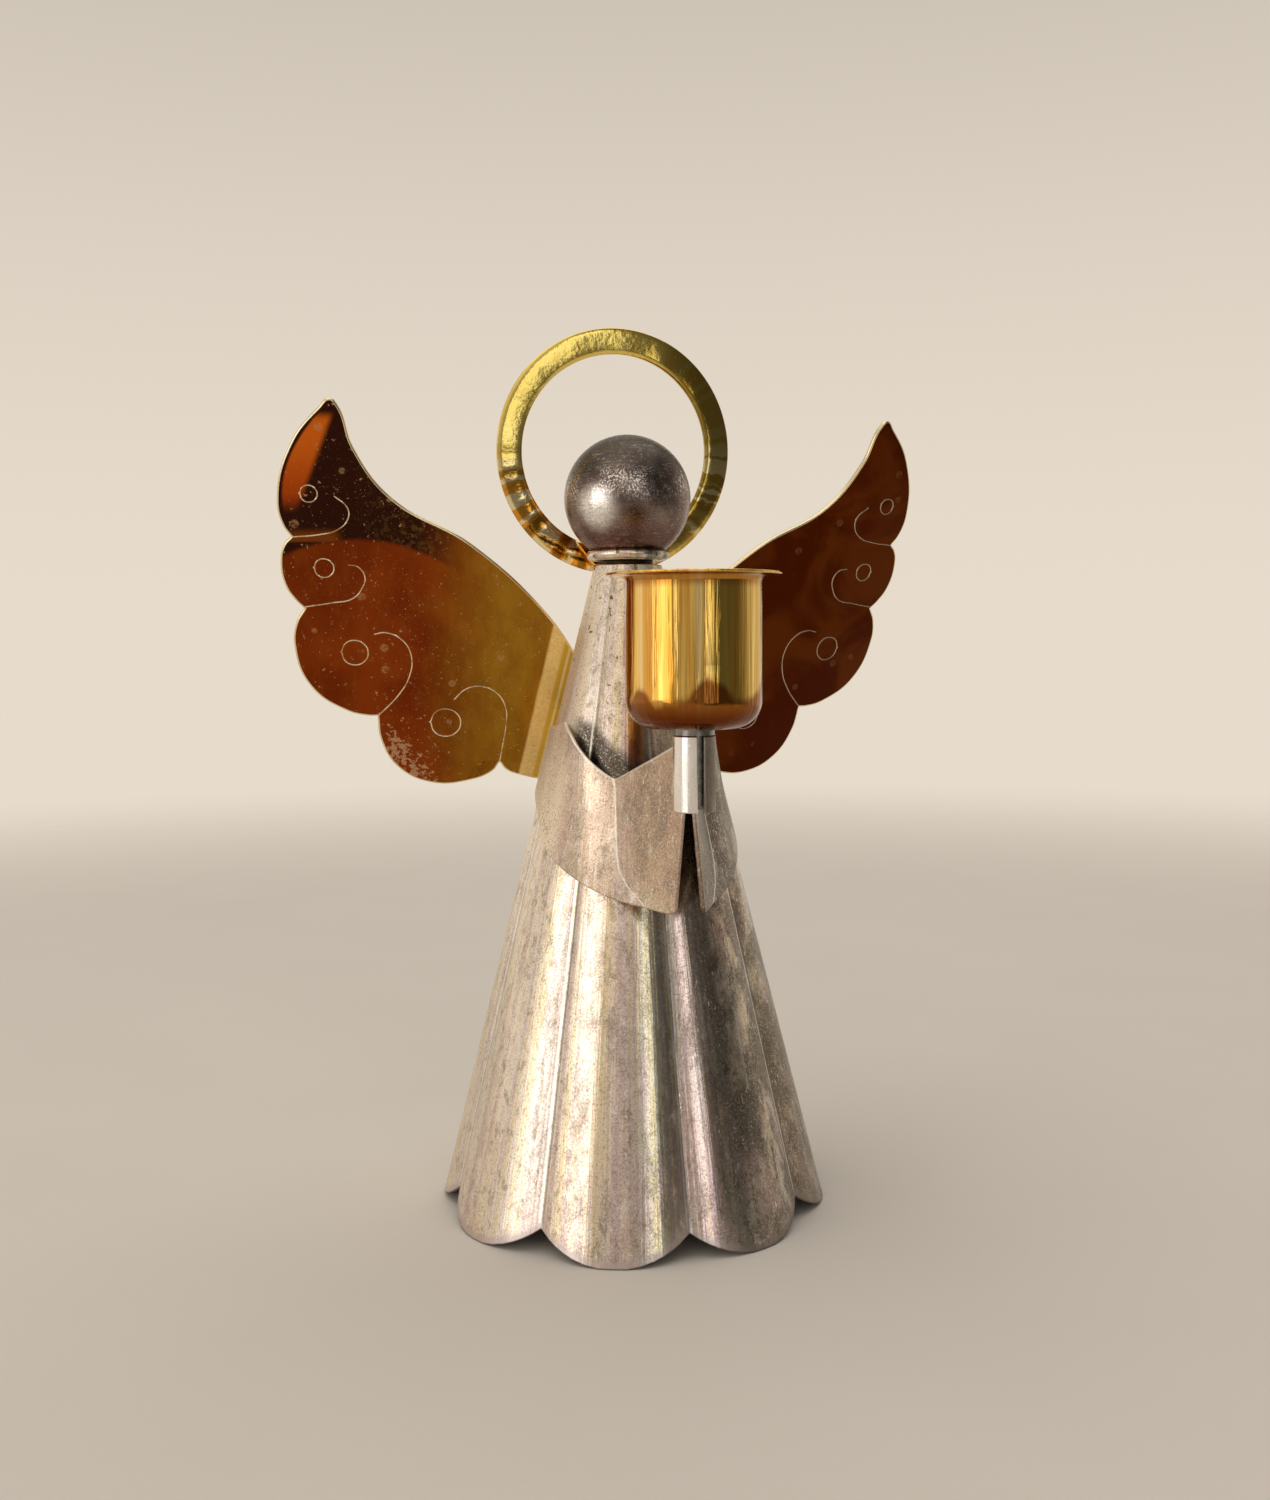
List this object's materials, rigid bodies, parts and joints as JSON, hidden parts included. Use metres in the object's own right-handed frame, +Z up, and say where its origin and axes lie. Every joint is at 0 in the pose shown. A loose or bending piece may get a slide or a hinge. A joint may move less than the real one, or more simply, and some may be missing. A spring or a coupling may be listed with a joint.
{
  "type": "angel candle holder",
  "caption": "Standing angel of sheet metal with a fluted cone gown, brass wings and a ring halo, holding a brass cup for a taper candle in front of it.",
  "frame": {"origin": "middle of the footprint's box, on the floor the hem stands on", "axes": "+Z up along the gown, -Y towards the front where the candle cup is held, +X towards the viewer's right"},
  "size_m": [0.134, 0.0916, 0.1745],
  "materials": {
    "silver_plate": "tarnished silver plate, satin",
    "wing_brass": "polished sheet, darkened",
    "halo_brass": "polished",
    "cup_brass": "polished",
    "dark_metal": "dark oxidised, satin",
    "bright_steel": "bright"
  },
  "bodies": {
    "figure": {"gown": "silver_plate", "arms": "silver_plate", "wings": "wing_brass", "collar": "silver_plate", "neck_screw": "bright_steel", "neck_washer": "bright_steel", "back_screw": "bright_steel", "back_washer": "bright_steel", "back_nut": "bright_steel"},
    "halo": {"halo": "halo_brass"},
    "head": {"head": "dark_metal"},
    "peg": {"cup_stem": "bright_steel", "cup_screw": "bright_steel"},
    "cup": {"candle_cup": "cup_brass"}
  },
  "joints": [
    {"name": "head_turn", "type": "hinge", "parent": "figure", "child": "head", "pos_m": [0, 0.00865, 0.134], "axis": [0, 0, 1], "continuous": true},
    {"name": "halo_turn", "type": "hinge", "parent": "figure", "child": "halo", "pos_m": [0, 0.00865, 0.12745], "axis": [0, 0, 1], "continuous": true},
    {"name": "peg_lift", "type": "slide", "parent": "figure", "child": "peg", "axis": [0, 0, 1], "range_m": [0, 0.0125]},
    {"name": "cup_turn", "type": "hinge", "parent": "peg", "child": "cup", "pos_m": [0, -0.03045, 0.097], "axis": [0, 0, 1], "continuous": true}
  ]
}
